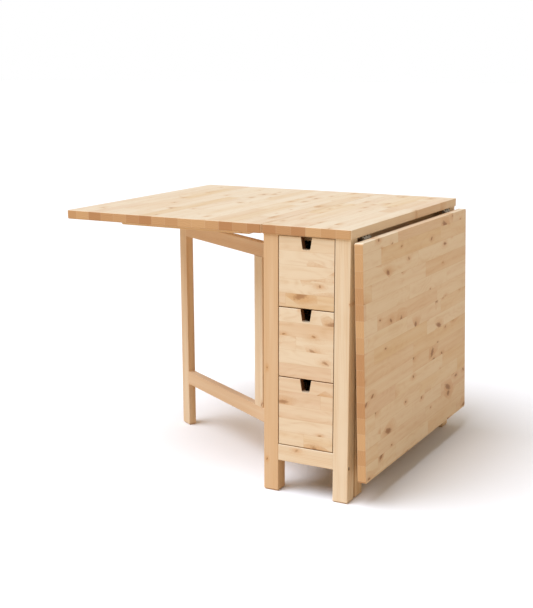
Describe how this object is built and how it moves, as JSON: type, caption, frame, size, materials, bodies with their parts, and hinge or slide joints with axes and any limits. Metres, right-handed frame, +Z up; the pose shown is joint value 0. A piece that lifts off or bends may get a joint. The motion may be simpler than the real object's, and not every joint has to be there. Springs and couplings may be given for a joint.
{
  "type": "drop leaf table",
  "caption": "Solid birch gateleg table with two drop leaves, swing-out gates and a drawer stack at each end; one leaf raised, one hanging.",
  "frame": {"origin": "on the floor, at the bottom centre of the box around the whole table in its rest pose", "axes": "+Z up, +X across the table from the raised leaf to the hanging leaf, -Y towards the front drawers"},
  "size_m": [0.9536, 0.8, 0.74],
  "materials": {
    "birch_tops": "clear satin lacquer over edge-glued birch staves",
    "birch_fronts": "clear satin lacquer over birch boards with the grain level",
    "birch_frame": "clear satin lacquer over planed birch sticks and panels",
    "drawer_box_wood": "unfinished planed birch",
    "drawer_bottom_board": "thin smooth fibreboard",
    "zinc_steel": "zinc plated steel"
  },
  "bodies": {
    "carcass": {"back_left_post": "birch_frame", "back_right_post": "birch_frame", "barrel_nuts": "zinc_steel", "bottom_rails": "birch_fronts", "carcass_screws": "zinc_steel", "centre_divider": "birch_frame", "centre_top": "birch_tops", "drawer_runners": "drawer_box_wood", "fixed_hinge_plates": "zinc_steel", "frame_bolts": "zinc_steel", "front_left_post": "birch_frame", "front_right_post": "birch_frame", "hinge_pins": "zinc_steel", "left_side_panel": "birch_frame", "right_side_panel": "birch_frame", "top_cross_bars": "drawer_box_wood"},
    "back_lower_drawer": {"back_lower_drawer_back": "drawer_box_wood", "back_lower_drawer_bottom": "drawer_bottom_board", "back_lower_drawer_front": "birch_fronts", "back_lower_drawer_sides": "drawer_box_wood"},
    "back_middle_drawer": {"back_middle_drawer_back": "drawer_box_wood", "back_middle_drawer_bottom": "drawer_bottom_board", "back_middle_drawer_front": "birch_fronts", "back_middle_drawer_sides": "drawer_box_wood"},
    "back_upper_drawer": {"back_upper_drawer_back": "drawer_box_wood", "back_upper_drawer_bottom": "drawer_bottom_board", "back_upper_drawer_front": "birch_fronts", "back_upper_drawer_sides": "drawer_box_wood"},
    "front_lower_drawer": {"front_lower_drawer_back": "drawer_box_wood", "front_lower_drawer_bottom": "drawer_bottom_board", "front_lower_drawer_front": "birch_fronts", "front_lower_drawer_sides": "drawer_box_wood"},
    "front_middle_drawer": {"front_middle_drawer_back": "drawer_box_wood", "front_middle_drawer_bottom": "drawer_bottom_board", "front_middle_drawer_front": "birch_fronts", "front_middle_drawer_sides": "drawer_box_wood"},
    "front_upper_drawer": {"front_upper_drawer_back": "drawer_box_wood", "front_upper_drawer_bottom": "drawer_bottom_board", "front_upper_drawer_front": "birch_fronts", "front_upper_drawer_sides": "drawer_box_wood"},
    "left_gate": {"left_gate_bottom_rail": "birch_frame", "left_gate_hinge_plates": "zinc_steel", "left_gate_leg": "birch_frame", "left_gate_screws": "zinc_steel", "left_gate_stile": "birch_frame", "left_gate_top_rail": "birch_frame"},
    "left_leaf": {"left_leaf": "birch_tops", "left_leaf_battens": "birch_frame", "left_leaf_hinge_plates": "zinc_steel", "left_leaf_screws": "zinc_steel"},
    "right_gate": {"right_gate_bottom_rail": "birch_frame", "right_gate_hinge_plates": "zinc_steel", "right_gate_leg": "birch_frame", "right_gate_screws": "zinc_steel", "right_gate_stile": "birch_frame", "right_gate_top_rail": "birch_frame"},
    "right_leaf": {"right_leaf": "birch_tops", "right_leaf_battens": "birch_frame", "right_leaf_hinge_plates": "zinc_steel", "right_leaf_screws": "zinc_steel"}
  },
  "joints": [
    {"name": "left_leaf_fold", "type": "hinge", "parent": "carcass", "child": "left_leaf", "pos_m": [0.16369, 0, 0.7085], "axis": [0, 1, 0], "range_deg": [0, 1]},
    {"name": "right_leaf_fold", "type": "hinge", "parent": "carcass", "child": "right_leaf", "pos_m": [0.42469, 0, 0.7085], "axis": [0, -1, 0], "range_deg": [0, 89.15]},
    {"name": "left_gate_swing", "type": "hinge", "parent": "carcass", "child": "left_gate", "pos_m": [0.19494, -0.281, 0], "axis": [0, 0, 1], "range_deg": [-59.5, 0]},
    {"name": "right_gate_swing", "type": "hinge", "parent": "carcass", "child": "right_gate", "pos_m": [0.39344, 0.281, 0], "axis": [0, 0, 1], "range_deg": [-0.4, 0]},
    {"name": "front_upper_drawer_slide", "type": "slide", "parent": "carcass", "child": "front_upper_drawer", "axis": [0, -1, 0], "range_m": [0, 0.26]},
    {"name": "front_middle_drawer_slide", "type": "slide", "parent": "carcass", "child": "front_middle_drawer", "axis": [0, -1, 0], "range_m": [0, 0.26]},
    {"name": "front_lower_drawer_slide", "type": "slide", "parent": "carcass", "child": "front_lower_drawer", "axis": [0, -1, 0], "range_m": [0, 0.26]},
    {"name": "back_upper_drawer_slide", "type": "slide", "parent": "carcass", "child": "back_upper_drawer", "axis": [0, 1, 0], "range_m": [0, 0.26]},
    {"name": "back_middle_drawer_slide", "type": "slide", "parent": "carcass", "child": "back_middle_drawer", "axis": [0, 1, 0], "range_m": [0, 0.26]},
    {"name": "back_lower_drawer_slide", "type": "slide", "parent": "carcass", "child": "back_lower_drawer", "axis": [0, 1, 0], "range_m": [0, 0.26]}
  ]
}
